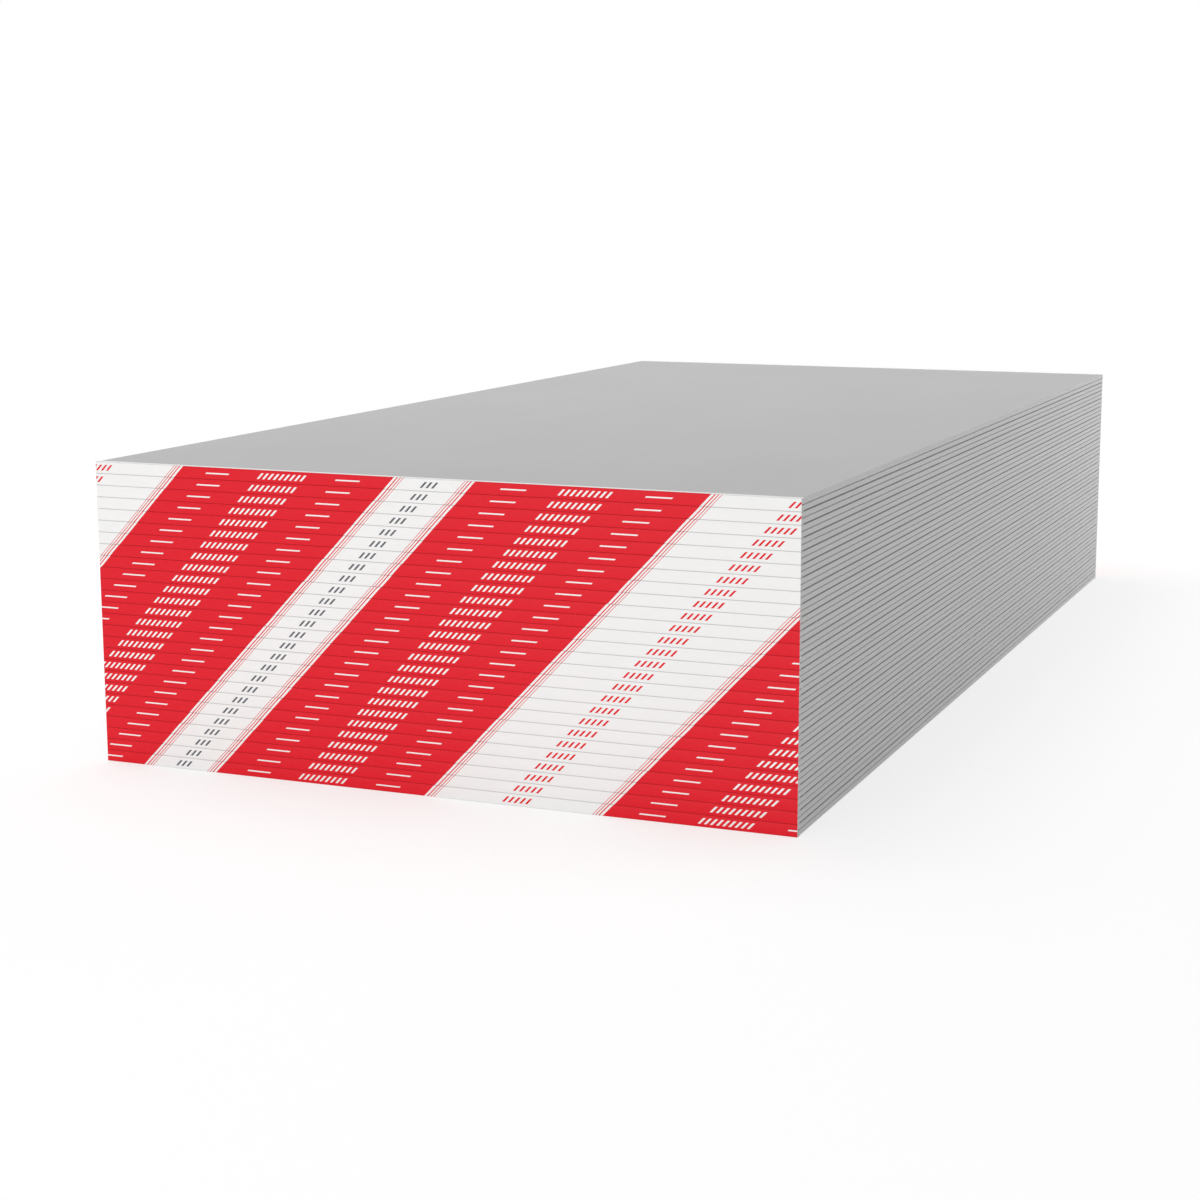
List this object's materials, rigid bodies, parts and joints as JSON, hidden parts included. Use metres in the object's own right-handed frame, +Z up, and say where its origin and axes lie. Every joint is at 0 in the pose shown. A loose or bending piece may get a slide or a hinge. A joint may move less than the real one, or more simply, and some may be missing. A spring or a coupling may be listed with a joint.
{
  "type": "stack of drywall sheets",
  "caption": "Squared-up stack of full-size gypsum drywall sheets, laid face to face in pairs that printed paper tape binds at both ends, ready to be lifted off and cut for walls.",
  "frame": {"origin": "middle of the underside of the stack, on the floor that it lies on", "axes": "+Z up, +Y along the sheets, away from the front end that the picture shows, +X across them"},
  "size_m": [1.22, 2.4384, 0.5082],
  "materials": {
    "board_paper": "matt grey recycled liner paper",
    "end_tape": "smooth red and white printed paper tape"
  },
  "bodies": {
    "root": {"sheet_01": "board_paper", "sheet_02": "board_paper", "sheet_03": "board_paper", "sheet_04": "board_paper", "sheet_05": "board_paper", "sheet_06": "board_paper", "sheet_07": "board_paper", "sheet_08": "board_paper", "sheet_09": "board_paper", "sheet_10": "board_paper", "sheet_11": "board_paper", "sheet_12": "board_paper", "sheet_13": "board_paper", "sheet_14": "board_paper", "sheet_15": "board_paper", "sheet_16": "board_paper", "sheet_17": "board_paper", "sheet_18": "board_paper", "sheet_19": "board_paper", "sheet_20": "board_paper", "sheet_21": "board_paper", "sheet_22": "board_paper", "sheet_23": "board_paper", "sheet_24": "board_paper", "sheet_25": "board_paper", "sheet_26": "board_paper", "sheet_27": "board_paper", "sheet_28": "board_paper", "sheet_29": "board_paper", "sheet_30": "board_paper", "sheet_31": "board_paper", "sheet_32": "board_paper", "sheet_33": "board_paper", "sheet_34": "board_paper", "sheet_35": "board_paper", "sheet_36": "board_paper", "sheet_37": "board_paper", "sheet_38": "board_paper", "sheet_39": "board_paper", "sheet_40": "board_paper", "sheet_41": "board_paper", "sheet_42": "board_paper", "sheet_43": "board_paper", "sheet_44": "board_paper", "sheet_45": "board_paper", "sheet_46": "board_paper", "sheet_47": "board_paper", "sheet_48": "board_paper", "sheet_49": "board_paper", "sheet_50": "board_paper", "sheet_51": "board_paper", "sheet_52": "board_paper", "front_end_tapes": "end_tape", "back_end_tapes": "end_tape"}
  },
  "joints": []
}
